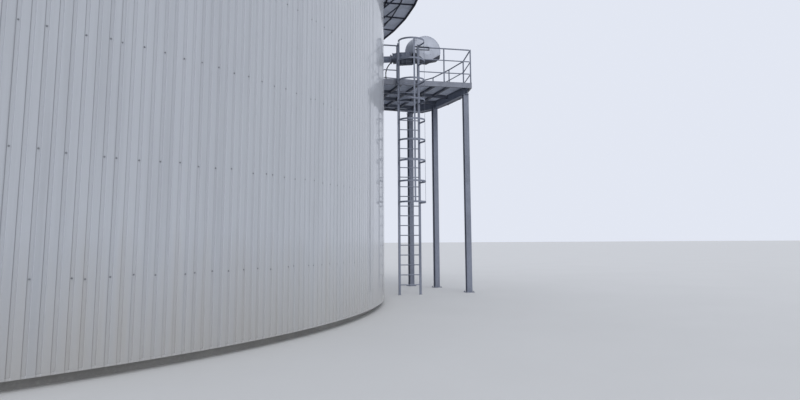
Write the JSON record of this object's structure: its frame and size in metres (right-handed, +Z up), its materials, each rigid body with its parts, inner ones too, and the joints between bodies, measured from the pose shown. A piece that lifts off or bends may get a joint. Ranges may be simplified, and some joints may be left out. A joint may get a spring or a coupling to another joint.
{
  "type": "biogas digester with membrane dome, rim walkway and service platform",
  "caption": "Round clad digester tank with a membrane dome, a walkway round its rim, and a raised service platform with a caged ladder and a drive unit.",
  "frame": {"origin": "centre of the tank's floor slab underside, at ground level", "axes": "+Z up, +X from the tank's centre along the middle of the service platform"},
  "size_m": [28.353, 26.416, 15.9003],
  "materials": {
    "concrete": "rough",
    "cladding": "coated sheet, weathered",
    "rim": "dark coated",
    "membrane": "coated fabric, matte",
    "steel": "galvanized, weathered",
    "grating": "galvanized grating",
    "drum": "painted light grey",
    "drive": "painted dark, weathered",
    "rubber": "matte"
  },
  "bodies": {
    "root": {"floor_slab": "concrete", "tank_wall_1": "concrete", "tank_wall_2": "concrete", "tank_wall_3": "concrete", "tank_wall_4": "concrete", "wall_cladding_1": "cladding", "wall_cladding_2": "cladding", "wall_cladding_3": "cladding", "wall_cladding_4": "cladding", "rim_clamp_ring": "rim", "dome_membrane": "membrane", "dome_port": "rim", "walkway_frame_1": "steel", "walkway_frame_2": "steel", "walkway_frame_3": "steel", "walkway_frame_4": "steel", "walkway_deck_1": "grating", "walkway_deck_2": "grating", "walkway_deck_3": "grating", "walkway_deck_4": "grating", "walkway_railing_1": "steel", "walkway_railing_2": "steel", "walkway_railing_3": "steel", "walkway_railing_4": "steel", "platform_frame": "steel", "platform_deck": "grating", "platform_post_front": "steel", "platform_post_middle": "steel", "platform_post_rear": "steel", "platform_railing_outer": "steel", "platform_railing_front": "steel", "platform_railing_wall_side": "steel", "platform_railing_rear": "steel", "ladder": "steel", "ladder_cage_upper": "steel", "ladder_cage_lower": "steel", "shaft_tube": "drive", "shaft_coupling": "drive", "gearbox": "drive", "drum": "drum", "drum_cover": "drum", "drum_cradle": "drive", "drive_leg_1": "drive", "drive_leg_2": "drive", "drive_conduit": "rubber"}
  },
  "joints": []
}
